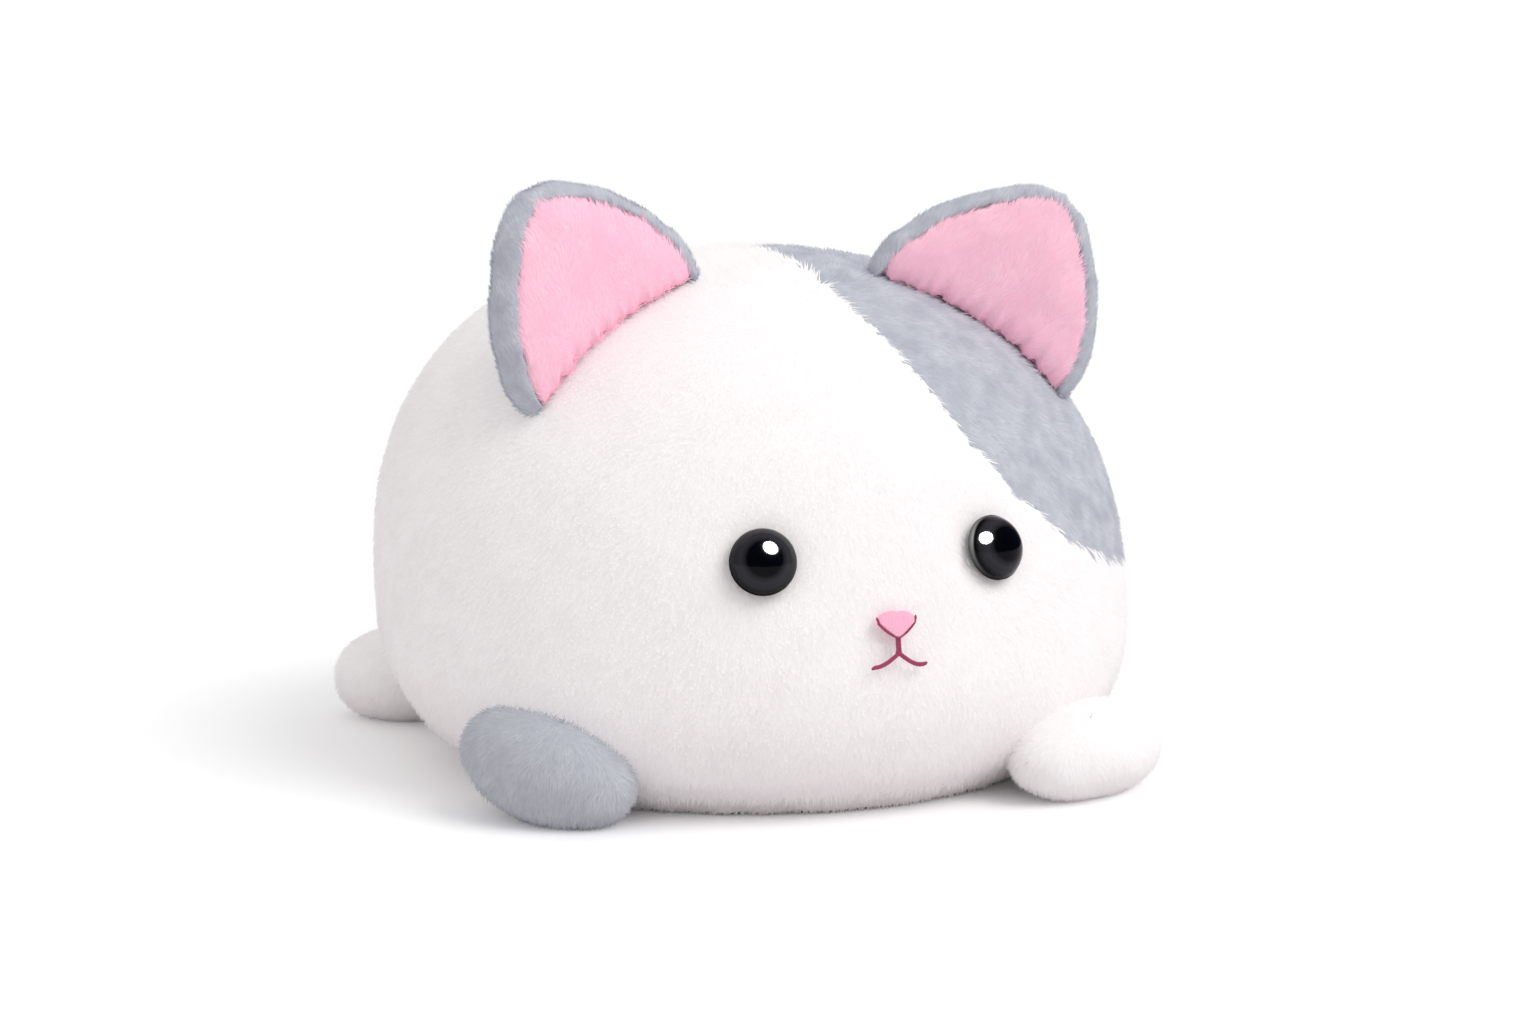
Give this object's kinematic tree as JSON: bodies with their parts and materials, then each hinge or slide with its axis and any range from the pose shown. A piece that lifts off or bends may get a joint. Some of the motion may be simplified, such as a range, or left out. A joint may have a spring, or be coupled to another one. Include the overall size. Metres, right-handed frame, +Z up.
{
  "type": "plush cat toy",
  "caption": "Loaf-shaped stuffed plush cat lying on a flat base, with sewn ears and paws that fold, a short tail, domed safety eyes and an embroidered nose and mouth.",
  "frame": {"origin": "on the flat base, midway between the cat's sides, 15 mm behind the middle of the base's outline", "axes": "+Z up, the cat faces -Y, its own left side is +X"},
  "size_m": [0.264, 0.3179, 0.1978],
  "materials": {
    "white_plush": "short dense minky pile, off-white",
    "grey_plush": "short dense minky pile, light blue-grey",
    "pink_plush": "longer soft pile, pale pink",
    "base_plush": "short dense minky pile, off-white, underside panel",
    "filling": "loose polyester fibre filling",
    "wadding": "thin bonded polyester wadding",
    "eye_black": "polished moulded safety eye",
    "washer_plastic": "moulded lock washer, natural white",
    "nose_thread": "satin-stitch polyester embroidery thread, pink",
    "mouth_thread": "stem-stitch polyester embroidery thread, dark rose"
  },
  "bodies": {
    "body": {"face_panel": "white_plush", "head_patch": "grey_plush", "left_back_panel": "white_plush", "right_back_panel": "white_plush", "base_panel": "base_plush", "body_filling": "filling", "left_eye": "eye_black", "right_eye": "eye_black", "left_eye_washer": "washer_plastic", "right_eye_washer": "washer_plastic", "nose_embroidery": "nose_thread", "mouth_embroidery": "mouth_thread"},
    "left_ear": {"left_ear_back": "grey_plush", "left_ear_inner": "pink_plush", "left_ear_wadding": "wadding"},
    "right_ear": {"right_ear_back": "grey_plush", "right_ear_inner": "pink_plush", "right_ear_wadding": "wadding"},
    "front_left_paw": {"front_left_paw_cover": "white_plush", "front_left_paw_filling": "filling"},
    "front_right_paw": {"front_right_paw_cover": "grey_plush", "front_right_paw_filling": "filling"},
    "rear_left_paw": {"rear_left_paw_cover": "white_plush", "rear_left_paw_filling": "filling"},
    "rear_right_paw": {"rear_right_paw_cover": "white_plush", "rear_right_paw_filling": "filling"},
    "tail": {"tail_cover": "grey_plush", "tail_filling": "filling"}
  },
  "joints": [
    {"name": "left_ear_fold", "type": "hinge", "parent": "body", "child": "left_ear", "pos_m": [0.0665, -0.0365, 0.1485], "axis": [0.7745, -0.2667, -0.5736], "range_deg": [-16, 18], "stiffness_Nm_per_rad": 0.08},
    {"name": "right_ear_fold", "type": "hinge", "parent": "body", "child": "right_ear", "pos_m": [-0.0665, -0.0365, 0.151], "axis": [0.7745, 0.2667, 0.5736], "range_deg": [-16, 18], "stiffness_Nm_per_rad": 0.08},
    {"name": "front_left_paw_lift", "type": "hinge", "parent": "body", "child": "front_left_paw", "pos_m": [0.07646, -0.10345, 0.029], "axis": [-0.7766, -0.63, 0], "range_deg": [-5, 25], "stiffness_Nm_per_rad": 0.12},
    {"name": "front_right_paw_lift", "type": "hinge", "parent": "body", "child": "front_right_paw", "pos_m": [-0.10441, -0.08007, 0.034], "axis": [-0.567, 0.8237, 0], "range_deg": [-5, 25], "stiffness_Nm_per_rad": 0.12},
    {"name": "rear_left_paw_lift", "type": "hinge", "parent": "body", "child": "rear_left_paw", "pos_m": [0.09895, 0.0871, 0.034], "axis": [0.6937, -0.7203, 0], "range_deg": [-5, 25], "stiffness_Nm_per_rad": 0.12},
    {"name": "rear_right_paw_lift", "type": "hinge", "parent": "body", "child": "rear_right_paw", "pos_m": [-0.09895, 0.0871, 0.034], "axis": [0.6937, 0.7203, 0], "range_deg": [-5, 25], "stiffness_Nm_per_rad": 0.12},
    {"name": "tail_wag", "type": "hinge", "parent": "body", "child": "tail", "pos_m": [0, 0.14919, 0.03], "axis": [0, 0, 1], "range_deg": [-30, 30], "stiffness_Nm_per_rad": 0.06}
  ]
}
